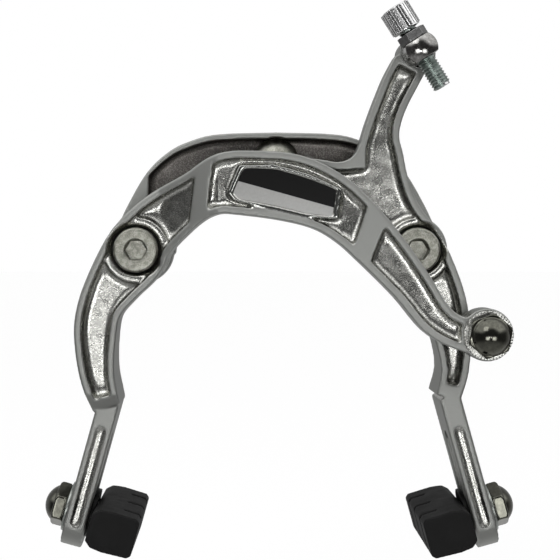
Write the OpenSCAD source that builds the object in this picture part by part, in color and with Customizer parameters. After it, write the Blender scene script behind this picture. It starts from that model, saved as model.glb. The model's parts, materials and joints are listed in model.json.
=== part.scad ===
// Long reach caliper brake with two pivots and crossing arms.
// X runs to the right seen from the front, Y to the rear, Z up.
// The origin is on the axis of the centre mounting bolt, at the face that meets the frame.

/* [Mounting] */
// Diameter of the centre mounting bolt
bolt_d = 6; // [5:0.5:8]
// Length of the centre bolt behind the seating face
bolt_stick = 34; // [20:1:50]
// Step in radius where the centre bolt leaves the brake
bolt_step = 0.5; // [0.4:0.05:0.6]
// Diameter of the domed head of the centre bolt
bolt_head_d = 12.2; // [11:0.1:13]
// Height of the domed head
bolt_head_h = 4.2; // [3:0.1:5]
// Thickness of the spacer that meets the frame
spacer_t = 2.8; // [1:0.1:6]
// Diameter of the spacer
spacer_d = 16; // [12:0.5:18]
// Thickness of the toothed washer
tooth_washer_t = 1.2; // [0.8:0.1:2]
// Number of teeth on the toothed washer
teeth = 16; // [8:1:24]

/* [Pivots] */
// Distance between the two pivots
pivot_span = 72; // [68:0.5:78]
// Drop of the pivots below the centre bolt
pivot_drop = 23.5; // [21:0.5:26]
// Diameter of the pivot bolt's shank
pivot_d = 6; // [5:0.1:6.4]
// Wall of the pivot bush
bush_wall = 1; // [0.8:0.1:1.2]
// Diameter of the pivot bolt's head
pivot_head_d = 11.5; // [10:0.1:12]
// Height of the pivot bolt's head
pivot_head_h = 3.5; // [2.5:0.1:4]
// Width across the flats of the hexagon sockets
socket_af = 5; // [3:0.5:5]
// Radius of the bosses of the back plate
boss_r = 9; // [8.5:0.1:10]
// Thickness of the thrust washers
thrust_t = 0.8; // [0.5:0.1:0.9]
// Wire diameter of the return springs
spring_wire = 1.1; // [0.8:0.1:1.2]

/* [Layers] */
// Thickness of the back plate
plate_t = 8; // [7:0.5:10]
// Depth of the back plate's pocket
plate_pocket = 4; // [2:0.25:5]
// Width of the back plate's rim
plate_rim = 1.6; // [1:0.1:2.5]
// Gap between the back plate and the arms
arm_gap = 1; // [1:0.1:2]
// Thickness of the right arm
right_t = 8.5; // [8:0.1:10]
// Thickness of the left arm at its pivot
left_t = 11; // [10.5:0.1:13]
// Thickness of the left arm across the front
band_t = 7.7; // [7:0.1:9]
// Gap between the crossing arms
cross_gap = 0.8; // [0.6:0.1:1.4]
// Width of the rims round the pockets of the arms
rim = 1.9; // [1.4:0.1:2.4]
// Depth of the pockets in the thick parts of the arms
pocket_deep = 4; // [3:0.1:4.4]
// Depth of the pockets across the front
pocket_shallow = 2.4; // [1.5:0.1:2.6]

/* [Legs] */
// Lean of the legs from upright
lean = 15.5; // [13:0.5:18]
// Thickness of the legs
leg_t = 5.5; // [5:0.1:7]
// Width of the legs from front to rear
leg_w = 14.5; // [14:0.5:17]
// Distance of the left leg outside its pivot
left_leg_out = 8; // [7.5:0.1:9]
// Distance of the right leg outside its pivot
right_leg_out = 9.4; // [8.6:0.1:10]
// Drop of the middle of the legs below the pivots
leg_drop = 42.5; // [41:0.5:44]
// Distance from the back of the arms to the back of the legs
leg_inset = 5.75; // [5:0.25:6.5]
// Shortest reach from the centre bolt to the brake shoe
reach_min = 73; // [72:0.5:76]
// Longest reach from the centre bolt to the brake shoe
reach_max = 92; // [88:0.5:95]
// Height at which the shoes are set above the end of the slot
shoe_up = 1; // [0:0.5:8]
// Wall below the slot
end_wall = 5.2; // [4:0.1:7]
// Width of the groove in the front edge
groove_w = 2.3; // [1.5:0.1:3]
// Depth of the groove in the front edge
groove_depth = 0.9; // [0.4:0.1:1.5]

/* [Brake shoes] */
// Diameter of the shoe stud
stud_d = 6; // [5:0.1:6.5]
// Play of the stud in the slot on each side
slot_play = 0.25; // [0.15:0.05:0.4]
// Length of the rubber block
pad_len = 33; // [30:1:52]
// Height of the rubber block
pad_h = 10.4; // [9:0.1:12]
// Thickness of the rubber block
pad_t = 12; // [10:0.1:14]
// Depth of the grooves across the block
pad_groove_depth = 4.7; // [2:0.1:6]
// Width of the grooves across the block
pad_groove_w = 1.1; // [0.8:0.1:2]
// Distance between the grooves
pad_groove_pitch = 10; // [8:0.5:12]
// Thickness of the washer between the leg and the brake block
washer_t = 1.2; // [0.8:0.1:1.6]
// Thickness of the washer under the dome nut
outer_washer_t = 0.8; // [0.6:0.1:1.4]
// Width across the flats of the dome nuts
nut_af = 10; // [9.5:0.1:11]
// Height of the hexagon of the dome nuts
nut_hex_h = 3.2; // [3:0.1:5]
// Height of the dome on the dome nuts
nut_dome_h = 2.6; // [2.5:0.1:4.4]

/* [Cable anchor] */
// Distance of the cable anchor to the right of the right pivot
anchor_dx = 15.9; // [15.5:0.1:18]
// Drop of the cable anchor below the pivots
anchor_drop = 21.1; // [19:0.1:23]
// Radius of the anchor eye
anchor_eye_r = 6.6; // [6.2:0.1:7.2]
// Diameter of the cable anchor bolt
anchor_d = 6; // [5:0.1:6]
// Thickness of the serrated clamp washer
clamp_washer_t = 1.3; // [1:0.1:2]

/* [Cable stop] */
// Height of the cable stop above the pivots
stop_rise = 50.3; // [46:0.1:54]
// Distance of the cable stop to the left of the right pivot
stop_left = 0.25; // [0:0.05:1]
// Distance of the adjuster in front of the right arm
stop_reach = 5.5; // [5:0.1:6.5]
// Radius of the eye that carries the cable stop
stop_eye_r = 4.7; // [4.5:0.1:5.4]
// Diameter of the swivel pin
stop_pin_d = 6; // [5:0.1:6]
// Diameter of the head of the cable stop
stop_head_d = 8.2; // [8:0.1:9.4]
// Distance between the two flats of the cable stop
stop_flats = 5.2; // [4.8:0.1:6]
// Angle of the adjuster below the horizontal
adjuster_angle = 58; // [50:1:66]
// Outer diameter of the adjuster's thread
thread_d = 4.9; // [4.5:0.1:5.2]
// Length of thread below the cable stop
thread_out = 8.4; // [6:0.1:10]
// Diameter of the adjuster's knob
knob_d = 7.8; // [6.8:0.1:9]
// Length of the adjuster's knob
knob_h = 6.4; // [5:0.1:8]
// Width across the flats of the locknut
locknut_af = 6.7; // [6.2:0.1:8]
// Height of the locknut
locknut_h = 2.4; // [2:0.1:3]
// Diameter of the cable bore
cable_bore = 1.6; // [1.4:0.1:2]

/* [Hidden] */
$fn = 96;

// Clearances
run_play = 0.05;
side_play = 0.2;
far = 200;

// Layers from the frame forwards, as places along Y
plate_back = -(spacer_t + tooth_washer_t);
plate_front = plate_back - plate_t;
plate_floor = plate_front + plate_pocket;
arm_back = plate_front - arm_gap;
right_front = arm_back - right_t;
left_front = arm_back - left_t;
band_back = right_front - cross_gap;
band_front = band_back - band_t;

// Pivots
bolt_neck_r = bolt_d / 2 + bolt_step;
pivot_x = pivot_span / 2;
pivot_z = -pivot_drop;
bush_r = pivot_d / 2 + bush_wall;
head_play = 0.25;
dish_r = pivot_head_d / 2 + head_play;
dish_flare = 1.5;
dish_straight = 1.2;
dish_wall = 0.9;
hub_drop = 1.2;
hub_wall = 1.2;
hub_r = bush_r + hub_wall;
coil_play = 0.5;
spring_r = hub_r + spring_wire / 2 + coil_play;
cup_r = spring_r + spring_wire / 2 + coil_play;
spring_turns = 2.25;
spring_pitch = spring_wire + 0.1;
tang_play = 0.3;
cup_depth = spring_wire + tang_play + spring_turns * spring_pitch + 0.1;
tang_back = 2.8;
tang_front = 1.9;
right_seat = right_front + pivot_head_h;
left_seat = left_front + pivot_head_h;

// Legs
function leg_x(side) = pivot_x + (side < 0 ? left_leg_out : right_leg_out);
leg_z = pivot_z - leg_drop;
leg_back = arm_back + leg_inset;
leg_y = leg_back - leg_w / 2;
leg_front = leg_y - leg_w / 2;
leg_rise = 5;
groove_top = -4;
slot_r = stud_d / 2 + slot_play;
function down_leg(reach) = (leg_z + reach) / cos(lean);
slot_top = -down_leg(reach_min);
slot_bottom = -down_leg(reach_max);
stud_z = -down_leg(reach_max - shoe_up);

// Cable anchor and cable stop
anchor_x = pivot_x + anchor_dx;
anchor_z = pivot_z - anchor_drop;
stop_x = pivot_x - stop_left;
stop_z = pivot_z + stop_rise;
adjuster_y = right_front - stop_reach;
stop_front = 4;
stop_collar = 1;
nut_dome_r = nut_af / 2 - 0.4;

// A station is [share of the way to the pivot, offset in X, height above the pivots, half width].
function place(s) = [s[0] * pivot_x + s[1], pivot_z + s[2], s[3]];

left_stations = [for (s = [
    [-1, -7.5, -40.2, 3.7], [-1, -9.8, -31.2, 4.5], [-1, -10.2, -21.3, 5.4], [-1, -9.0, -14.5, 5.7],
    [-1, -5.5, -8.3, 6.9], [-1, -1.1, -2.2, 8.1], [-1, 2.5, 3.4, 7.6], [-1, 8.5, 9.0, 7.0],
    [-0.56, 0, 13.7, 6.3], [-0.38, 0, 16.5, 7.6], [-0.18, 0, 16.6, 8.1], [0.1, 0, 15.4, 8.4],
    [0.34, 0, 12.1, 7.6], [0.53, 0, 7.0, 6.7], [0.71, 0, 0.3, 6.1], [0.92, 0, -8.7, 5.1],
    [1, 3.3, -17.1, 4.4], [1, 9.4, -20.7, 4.2], [1, anchor_dx, -anchor_drop, 5.6]]) place(s)];

right_stations = [for (s = [
    [1, -1.6 - stop_left, stop_rise - 2.5, 4.4], [1, -4.4, 43.1, 4.4], [1, -6.5, 38.6, 4.2],
    [1, -8.2, 34.2, 4.2], [1, -9.4, 29.6, 4.6], [1, -9.6, 24.4, 5.7], [1, -8.4, 17.0, 6.0],
    [1, -5.2, 9.4, 5.7], [1, -0.5, 0.2, 7.2], [1, 4.3, -8.4, 6.4], [1, 7.4, -16.2, 5.5],
    [1, 9.1, -24.5, 4.3], [1, 9.3, -31.3, 3.5], [1, 7.6, -37.9, 3.1]]) place(s)];

tail_stations = [for (s = [
    [-0.12, 0, 15.6, 5.0], [0.03, 0, 16.6, 5.9], [0.22, 0, 17.2, 6.2],
    [0.42, 0, 16.0, 6.4], [0.62, 0, 14.5, 8.2], [0.78, 0, 13.0, 7.0]]) place(s)];

plate_top = [[0, 7.4], [0.42, 6.9], [0.62, 5.2], [0.78, 2.4], [0.94, -3.0], [1.08, -11.5], [1.17, -18.5]];
plate_bottom = [[0, -7.2], [0.34, -8.4], [0.56, -12.4], [0.7, -18.4], [0.74, -24.5]];

// A smooth curve through a list of points of any length
function blend(a, b, c, d, t) =
    0.5 * (2 * b + (c - a) * t + (2 * a - 5 * b + 4 * c - d) * t * t + (3 * b - a - 3 * c + d) * t * t * t);
function smooth(pts, steps = 5) = let (last = len(pts) - 1) concat(
    [for (i = [0:last - 1]) for (j = [0:steps - 1])
        blend(pts[max(i - 1, 0)], pts[i], pts[i + 1], pts[min(i + 2, last)], j / steps)],
    [pts[last]]);
function reverse(pts) = [for (i = [len(pts) - 1:-1:0]) pts[i]];
function part_of(pts, first, last) = [for (i = [first:last]) pts[i]];

// One edge of a band that follows stations, and the band's whole outline
function edge(path, side, inset) = [for (i = [0:len(path) - 1])
    let (a = path[max(i - 1, 0)],
         b = path[min(i + 1, len(path) - 1)],
         run = [b[0] - a[0], b[1] - a[1]],
         across = [-run[1], run[0]] / norm(run))
    [path[i][0], path[i][1]] + side * (path[i][2] - inset) * across];
function band(path, inset = 0) = concat(edge(path, 1, inset), reverse(edge(path, -1, inset)));

left_path = smooth(left_stations);
right_path = smooth(right_stations);
tail_path = smooth(tail_stations);

// Travel of the synchronising roller in the left arm, where both arms have closed by one angle
closing = 14;
sync_x = 0;
sync_z = pivot_z + 15.5;
sync_pin_r = 2;
roller_r = 3.2;
roller_t = 2.6;
roller_play = 0.3;
function roller_at(turn) = let (h = sync_z - pivot_z, p = pivot_x) [
    -p + 2 * p * cos(turn) - p * cos(2 * turn) + h * sin(2 * turn),
    pivot_z - 2 * p * sin(turn) + p * sin(2 * turn) + h * cos(2 * turn),
    roller_r + roller_play];
roller_path = [for (turn = [-1:1:closing + 1]) roller_at(turn)];

// Extrusions along each axis: along_y takes outlines in X and Z, along_x in Y and Z
module along_y(from, to) {
    translate([0, to, 0]) rotate([90, 0, 0]) linear_extrude(to - from) children();
}
module along_x(from, to) {
    translate([from, 0, 0]) rotate([90, 0, 90]) linear_extrude(to - from) children();
}
// A round bar along Y at a place in X and Z
module bar_y(x, z, r, from, to) {
    translate([x, to, z]) rotate([90, 0, 0]) cylinder(r = r, h = to - from);
}
module cone_y(x, z, r_from, r_to, from, to) {
    translate([x, to, z]) rotate([90, 0, 0]) cylinder(r1 = r_to, r2 = r_from, h = to - from);
}
module hex_y(x, z, af, from, to) {
    translate([x, to, z]) rotate([90, 0, 0]) cylinder(r = af / sqrt(3), h = to - from, $fn = 6);
}

// Frame of a leg: X across its thickness, Z up along it
module on_leg(side) {
    translate([side * leg_x(side), 0, leg_z]) rotate([0, -side * lean, 0]) children();
}
// Frame of a brake shoe: Z along its stud, from the middle of the leg towards the rim
module on_stud(side) {
    on_leg(side) translate([0, leg_y, stud_z]) rotate([0, -side * 90, 0]) children();
}

// Frame
module plate_outline(inset) {
    top = smooth([for (p = plate_top) [p[0] * pivot_x, p[1], 0]]);
    bottom = smooth([for (p = plate_bottom) [p[0] * pivot_x, p[1], 0]]);
    function right_side(pts, shift) = [for (p = pts) [p[0], p[1] + shift]];
    function left_side(pts, shift) = [for (p = pts) [-p[0], p[1] + shift]];
    upper = right_side(top, -inset);
    lower = right_side(bottom, inset);
    polygon(concat(upper, reverse(lower), left_side(part_of(bottom, 1, len(bottom) - 1), inset),
                   reverse(left_side(part_of(top, 1, len(top) - 1), -inset))));
}

module back_plate() {
    color("silver") difference() {
        union() {
            along_y(plate_front, plate_back) plate_outline(0);
            for (side = [-1, 1]) bar_y(side * pivot_x, pivot_z, boss_r, plate_front, plate_back);
        }
        difference() {
            along_y(plate_front - 1, plate_floor) intersection() {
                plate_outline(plate_rim);
                square([2 * (pivot_x - 2.5), far], center = true);
            }
            for (side = [-1, 1]) bar_y(side * pivot_x, pivot_z, boss_r + 1.5, plate_front - 2, plate_back);
        }
        bar_y(0, 0, bolt_neck_r + run_play, plate_front - 1, 1);
        bar_y(0, 0, bolt_head_d / 2 + run_play, plate_front - 1, plate_floor);
        for (side = [-1, 1]) {
            bar_y(side * pivot_x, pivot_z, pivot_d / 2 + 0.02, plate_front - 1, plate_back + 1);
            spring_hole(side);
        }
    }
}

module spring_hole(side) {
    bar_y(side * (pivot_x + spring_r), pivot_z, spring_wire / 2 + tang_play, plate_front - 1,
          plate_front + tang_back + 0.2);
}

module centre_bolt() {
    tip_h = 1;
    color("gray") {
        bar_y(0, 0, bolt_neck_r, plate_floor, 0);
        bar_y(0, 0, bolt_d / 2, 0, bolt_stick - tip_h);
        cone_y(0, 0, bolt_d / 2, bolt_d / 2 - 0.8, bolt_stick - tip_h, bolt_stick);
        intersection() {
            dome_r = (pow(bolt_head_d / 2, 2) + pow(bolt_head_h - 1, 2)) / (2 * (bolt_head_h - 1));
            translate([0, plate_floor - bolt_head_h + dome_r, 0]) sphere(r = dome_r);
            bar_y(0, 0, bolt_head_d / 2, plate_floor - bolt_head_h, plate_floor);
        }
    }
}

module crown_spacer() {
    color("silver") difference() {
        bar_y(0, 0, spacer_d / 2, -spacer_t, 0);
        bar_y(0, 0, bolt_neck_r + run_play, -spacer_t - 1, 1);
    }
}

module toothed_washer() {
    color("gray") difference() {
        bar_y(0, 0, spacer_d / 2 - 0.8, plate_back, -spacer_t);
        bar_y(0, 0, bolt_neck_r + run_play, plate_back - 1, 0);
        for (i = [1:teeth]) rotate([0, i * 360 / teeth, 0])
            translate([spacer_d / 2 - 2, plate_back - 1, -0.5]) cube([3, tooth_washer_t + 2, 1]);
    }
}

// Pivots
module pivot_bolt(side, seat) {
    under_head = seat - side_play;
    head_front = under_head - pivot_head_h + side_play;
    bevel = 0.5;
    x = side * pivot_x;
    color("gray") difference() {
        union() {
            bar_y(x, pivot_z, pivot_d / 2, under_head, plate_back);
            bar_y(x, pivot_z, pivot_head_d / 2, head_front + bevel, under_head);
            cone_y(x, pivot_z, pivot_head_d / 2 - bevel, pivot_head_d / 2, head_front, head_front + bevel);
        }
        hex_y(x, pivot_z, socket_af, head_front - 1, head_front + 2.6);
        cone_y(x, pivot_z, socket_af / sqrt(3) + 0.1, socket_af / 2 - 0.3, head_front - 0.01, head_front + 0.7);
    }
}

module pivot_bush(side, seat) {
    x = side * pivot_x;
    color("goldenrod") difference() {
        bar_y(x, pivot_z, bush_r, seat - side_play, plate_front);
        bar_y(x, pivot_z, pivot_d / 2 + 0.02, seat - 1, plate_front + 1);
    }
}

module thrust_washer(side) {
    x = side * pivot_x;
    color("goldenrod") difference() {
        bar_y(x, pivot_z, hub_r, plate_front - thrust_t, plate_front);
        bar_y(x, pivot_z, bush_r + 0.1, plate_front - 2, plate_front + 1);
    }
}

// A torsion spring as one wire: a tang in the back plate, the coils, and a tang in the arm
module return_spring(side) {
    sides = 8;
    steps = 20;
    lead = 0.6;
    turn = 360 * spring_turns;
    count = ceil(steps * spring_turns);
    y0 = plate_front - spring_wire / 2 - tang_play;
    function coil(i) = let (a = side < 0 ? 180 - turn * i / count : turn * i / count)
        [side * pivot_x + spring_r * cos(a), y0 - spring_pitch * turn / 360 * i / count,
         pivot_z + spring_r * sin(a)];
    path = concat([coil(0) + [0, tang_back, 0], coil(0) + [0, lead, 0]], [for (i = [0:count]) coil(i)],
                  [coil(count) - [0, lead, 0], coil(count) - [0, tang_front, 0]]);
    last = len(path) - 1;
    function heading(i) = let (d = path[min(i + 1, last)] - path[max(i - 1, 0)]) d / norm(d);
    function outwards(i) = let (d = [path[i][0] - side * pivot_x, 0, path[i][2] - pivot_z],
                                t = heading(i),
                                flat = d - (d * t) * t) flat / norm(flat);
    ring_points = [for (i = [0:last]) for (k = [0:sides - 1])
        let (u = outwards(i), v = cross(heading(i), u), a = 360 * k / sides)
        path[i] + spring_wire / 2 * (cos(a) * u + sin(a) * v)];
    skin = [for (i = [0:last - 1]) for (k = [0:sides - 1])
        [i * sides + k, i * sides + (k + 1) % sides, (i + 1) * sides + (k + 1) % sides, (i + 1) * sides + k]];
    caps = [[for (k = [sides - 1:-1:0]) k], [for (k = [0:sides - 1]) last * sides + k]];
    color("gray") polyhedron(points = ring_points, faces = [for (f = concat(skin, caps)) reverse(f)]);
}

// The hole through an arm at its pivot, with the dish for the bolt's head and the cup for the spring
module pivot_cuts(side, seat) {
    x = side * pivot_x;
    bar_y(x, pivot_z, bush_r + run_play, -far / 2, 1);
    bar_y(x, pivot_z, dish_r, -far / 2, seat);
    cone_y(x, pivot_z, dish_r + dish_flare, dish_r, seat - pivot_head_h - 0.01, seat - dish_straight);
    difference() {
        bar_y(x, pivot_z, cup_r, plate_front - cup_depth, plate_front);
        bar_y(x, pivot_z, hub_r, plate_front - cup_depth - 1, plate_front + 1);
    }
}
module spring_seat(side) {
    a = side < 0 ? 180 - 360 * spring_turns : 360 * spring_turns;
    bar_y(side * pivot_x + spring_r * cos(a), pivot_z + spring_r * sin(a), spring_wire / 2 + tang_play,
          plate_front - cup_depth - tang_front + tang_play, plate_front);
}

// Legs
module leg(side) {
    end_r = leg_w / 2;
    end_z = slot_bottom - slot_r - end_wall + end_r;
    groove_x = groove_w / 2;
    on_leg(side) difference() {
        along_x(-leg_t / 2, leg_t / 2) union() {
            translate([leg_front, end_z]) square([leg_w, leg_rise - end_z]);
            translate([leg_y, end_z]) circle(r = end_r);
        }
        slot();
        translate([-groove_x, leg_front - 1, end_z]) cube([groove_w, groove_depth + 1, groove_top - end_z]);
        for (z = [end_z, groove_top]) bar_y(0, z, groove_x, leg_front - 1, leg_front + groove_depth);
    }
}
module slot() {
    for (z = [slot_top, slot_bottom])
        translate([-far / 2, leg_y, z]) rotate([0, 90, 0]) cylinder(r = slot_r, h = far);
    translate([-far / 2, leg_y - slot_r, slot_bottom]) cube([far, 2 * slot_r, slot_top - slot_bottom]);
}

// How far forwards and back each arm reaches, seen from the side
module left_side_view() {
    polygon([[left_front, far], [left_front, leg_z + 6], [leg_front, leg_z + 2], [leg_front, leg_z - 6],
             [leg_back, leg_z - 6], [leg_back, leg_z + 7], [arm_back, leg_z + 22], [arm_back, far]]);
}
module right_side_view() {
    polygon([[right_front, far], [right_front, leg_z + 12], [leg_front, leg_z + 6], [leg_front, leg_z - 6],
             [leg_back, leg_z - 6], [leg_back, leg_z + 7], [arm_back, leg_z + 22], [arm_back, far]]);
}

// Seen from above, the left arm steps forwards past the right arm
jog_front = -pivot_x + 6;
jog_end = -pivot_x + 21;
jog_back = -pivot_x + 13;
jog_back_end = -pivot_x + 24.5;
module above_left(from_front, from_band) {
    polygon([[-far, -far], [far, -far], [far, band_front + from_band], [jog_end, band_front + from_band],
             [jog_front, left_front + from_front], [-far, left_front + from_front]]);
}
module behind_left() {
    polygon([[-far, arm_back], [jog_back, arm_back], [jog_back_end, band_back], [far, band_back],
             [far, far], [-far, far]]);
}

left_split = -pivot_x + 5;
module left_block() {
    intersection() {
        along_y(-far, far) polygon(band(left_path));
        union() {
            intersection() {
                along_x(-far, left_split) left_side_view();
                translate([-far, -far, -far]) cube([far + left_split, 2 * far, 2 * far]);
            }
            difference() {
                translate([left_split, -far, -far]) cube(2 * far);
                translate([0, 0, -far]) linear_extrude(2 * far) above_left(0, 0);
                translate([0, 0, -far]) linear_extrude(2 * far) behind_left();
            }
        }
    }
    bar_y(anchor_x, anchor_z, anchor_eye_r, band_front, band_back);
}

badge_frame = [[-0.27, 21.1], [-0.03, 21.3], [0.21, 18.9], [0.44, 15.1], [0.41, 7.6],
               [0.21, 8.1], [-0.03, 9.7], [-0.31, 12.4], [-0.35, 14.2]];
function badge_point(p) = [p[0] * pivot_x, pivot_z + p[1]];
badge_centre = [0.05 * pivot_x, pivot_z + 14.6];
function shrink(p, wall) = let (v = p - badge_centre) badge_centre + v * (1 - wall / norm(v));
module badge_outline(wall) {
    polygon([for (p = badge_frame) shrink(badge_point(p), wall)]);
}

// Ribs across the pockets, as bars from one edge of the arm to the other
module left_ribs() {
    along_y(-far / 2, band_back) {
        polygon([for (p = [[-0.57, 20.5], [-0.44, 24.5], [-0.5, 8.0], [-0.62, 6.0]]) badge_point(p)]);
        polygon([for (p = [[0.63, 12.5], [0.75, 6.5], [0.6, -6.0], [0.52, 0.5]]) badge_point(p)]);
        badge_outline(0);
    }
}

badge_t = 0.5;
badge_sink = 0.8;
frame_wall = 1.3;

module left_arm() {
    color("gainsboro") difference() {
        union() {
            difference() {
                left_block();
                intersection() {
                    along_y(-far / 2, 0) polygon(band(part_of(left_path, 2, 86), rim));
                    translate([0, 0, -far]) linear_extrude(2 * far) above_left(pocket_deep, pocket_shallow);
                }
            }
            intersection() {
                left_block();
                union() {
                    left_ribs();
                    bar_y(anchor_x, anchor_z, anchor_eye_r, band_front, band_back);
                    bar_y(-pivot_x, pivot_z, dish_r + dish_flare + dish_wall, left_front + hub_drop, arm_back);
                }
            }
            leg(-1);
        }
        pivot_cuts(-1, left_seat);
        spring_seat(-1);
        on_leg(-1) slot();
        along_y(band_front - 1, band_front + badge_sink) badge_outline(frame_wall);
        along_y(band_back - roller_t - 0.6, band_back + 1) polygon(band(roller_path));
        for (end = [0, len(roller_path) - 1])
            bar_y(roller_path[end][0], roller_path[end][1], roller_path[end][2] - 0.1,
                  band_back - roller_t - 0.6, band_back + 1);
        bar_y(anchor_x, anchor_z, anchor_d / 2 + run_play, -far / 2, 0);
        bar_y(anchor_x, anchor_z, anchor_head_r + 0.2, band_back - anchor_head_h - 0.2, band_back + 1);
    }
}

module badge_plate() {
    color("dimgray") along_y(band_front + badge_sink - badge_t, band_front + badge_sink)
        badge_outline(frame_wall + 0.1);
}

// Cable anchor
anchor_head_r = 4.6;
anchor_head_h = 1.8;
nut_seat = band_front - clamp_washer_t;
module anchor_bolt() {
    color("gray") {
        bar_y(anchor_x, anchor_z, anchor_d / 2, nut_seat - nut_hex_h, band_back - anchor_head_h);
        bar_y(anchor_x, anchor_z, anchor_head_r, band_back - anchor_head_h, band_back);
    }
}
module clamp_washer() {
    ridges = 24;
    color("gray") difference() {
        bar_y(anchor_x, anchor_z, anchor_eye_r - 0.5, nut_seat, band_front);
        bar_y(anchor_x, anchor_z, anchor_d / 2 + 0.1, nut_seat - 1, band_front + 1);
        translate([anchor_x, 0, anchor_z]) for (i = [1:ridges]) rotate([0, i * 360 / ridges, 0])
            translate([anchor_eye_r - 0.85, nut_seat - 1, -0.25]) cube([1, clamp_washer_t + 0.7, 0.5]);
    }
}

// A dome nut along Z with its seat at zero and a blind hole for its bolt
module dome_nut(hole_d) {
    dome_r = (nut_dome_r * nut_dome_r + nut_dome_h * nut_dome_h) / (2 * nut_dome_h);
    difference() {
        union() {
            intersection() {
                cylinder(r = nut_af / sqrt(3), h = nut_hex_h, $fn = 6);
                cylinder(r1 = nut_af / 2 + 0.2, r2 = nut_af / 2 + 0.2 + 2 * nut_hex_h, h = 2 * nut_hex_h);
                translate([0, 0, -nut_hex_h])
                    cylinder(r1 = nut_af / 2 + 0.2 + 2 * nut_hex_h, r2 = nut_af / 2 + 0.2, h = 2 * nut_hex_h);
            }
            intersection() {
                translate([0, 0, nut_hex_h + nut_dome_h - dome_r]) rotate([90, 0, 0]) sphere(r = dome_r);
                translate([0, 0, nut_hex_h]) cylinder(r = nut_dome_r, h = nut_dome_h);
            }
        }
        translate([0, 0, -1]) cylinder(d = hole_d + 2 * run_play, h = nut_hex_h + 1.3);
    }
}
module anchor_dome_nut() {
    color("silver") translate([anchor_x, nut_seat, anchor_z]) rotate([90, 0, 0]) rotate([0, 0, 20])
        dome_nut(anchor_d);
}

// Right arm
// The hollow curve between the tail and the horn
module horn_fillet() {
    r = 5.2;
    centre = [pivot_x - 20.3, pivot_z + 27.7];
    polygon(concat([for (a = [-90:10:-10]) centre + r * [cos(a), sin(a)]],
                   [[pivot_x - 12, pivot_z + 23.5], [pivot_x - 14, pivot_z + 18.5]]));
}
module right_arm() {
    window_first = 2;
    window_last = 62;
    color("gainsboro") difference() {
        union() {
            difference() {
                intersection() {
                    union() {
                        along_y(-far, far) polygon(band(right_path));
                        along_y(right_front, arm_back) polygon(band(tail_path));
                        bar_y(stop_x, stop_z, stop_eye_r, right_front, arm_back);
                        bar_y(sync_x - 2.5, sync_z, 5.2, right_front, arm_back);
                        along_y(right_front, arm_back) horn_fillet();
                    }
                    along_x(-far, far) right_side_view();
                }
                along_y(-far / 2, right_front + pocket_deep) {
                    polygon(band(part_of(right_path, window_first, window_last), rim));
                    polygon(band(part_of(tail_path, 4, len(tail_path) - 1), rim));
                }
            }
            intersection() {
                union() {
                    bar_y(pivot_x, pivot_z, dish_r + dish_flare + dish_wall, right_front + hub_drop, arm_back);
                    bar_y(stop_x, stop_z, stop_eye_r, right_front, arm_back);
                    bar_y(sync_x, sync_z, sync_pin_r + 2, right_front, arm_back);
                }
                along_y(-far, far) union() {
                    polygon(band(right_path));
                    polygon(band(tail_path));
                    translate([stop_x, stop_z]) circle(r = stop_eye_r);
                }
            }
            leg(1);
        }
        pivot_cuts(1, right_seat);
        spring_seat(1);
        on_leg(1) slot();
        bar_y(stop_x, stop_z, stop_pin_d / 2 + run_play, -far / 2, 0);
        bar_y(sync_x, sync_z, sync_pin_r + 0.01, -far / 2, 0);
    }
}

module sync_pin() {
    color("gray") bar_y(sync_x, sync_z, sync_pin_r, band_back - roller_t - 0.3, arm_back);
}
module sync_roller() {
    color("ivory") difference() {
        bar_y(sync_x, sync_z, roller_r, band_back - roller_t - 0.1, band_back - 0.1);
        bar_y(sync_x, sync_z, sync_pin_r + run_play, -far / 2, 0);
    }
}

// Cable stop, in a frame whose Z points up along the adjuster
module on_adjuster() {
    translate([stop_x, adjuster_y, stop_z]) rotate([0, adjuster_angle - 90, 0]) children();
}
module cable_stop() {
    head_back = right_front - side_play;
    head_front = adjuster_y - stop_front;
    dome = 1.6;
    flats_back = stop_reach - side_play - stop_collar;
    head_r = stop_head_d / 2;
    dome_r = (head_r * head_r + dome * dome) / (2 * dome);
    color("gray") difference() {
        union() {
            bar_y(stop_x, stop_z, stop_pin_d / 2, head_back, arm_back + 2);
            intersection() {
                bar_y(stop_x, stop_z, head_r, head_front, head_back);
                translate([stop_x, head_front + dome_r, stop_z]) sphere(r = dome_r);
            }
        }
        on_adjuster() for (side = [-1, 1])
            translate([-far / 2, -stop_front - 1, side > 0 ? stop_flats / 2 : -far - stop_flats / 2])
                cube([far, stop_front + 1 + flats_back, far]);
        on_adjuster() translate([0, 0, -20]) cylinder(d = thread_d + 2 * run_play, h = 40);
        difference() {
            bar_y(stop_x, stop_z, stop_pin_d, arm_back + 0.2, arm_back + 1.1);
            bar_y(stop_x, stop_z, stop_pin_d / 2 - 0.5, arm_back, arm_back + 2);
        }
    }
}
module stop_clip() {
    color("gray") difference() {
        bar_y(stop_x, stop_z, stop_eye_r, arm_back + 0.25, arm_back + 1.05);
        bar_y(stop_x, stop_z, stop_pin_d / 2 - 0.5, arm_back, arm_back + 2);
        translate([stop_x - 1.8, arm_back, stop_z - far]) cube([3.6, 2, far]);
    }
}
module locknut() {
    color("gray") on_adjuster() translate([0, 0, stop_flats / 2]) difference() {
        cylinder(r = locknut_af / sqrt(3), h = locknut_h, $fn = 6);
        translate([0, 0, -1]) cylinder(d = thread_d + 2 * run_play, h = locknut_h + 2);
    }
}
neck_h = 0.9;
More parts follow.
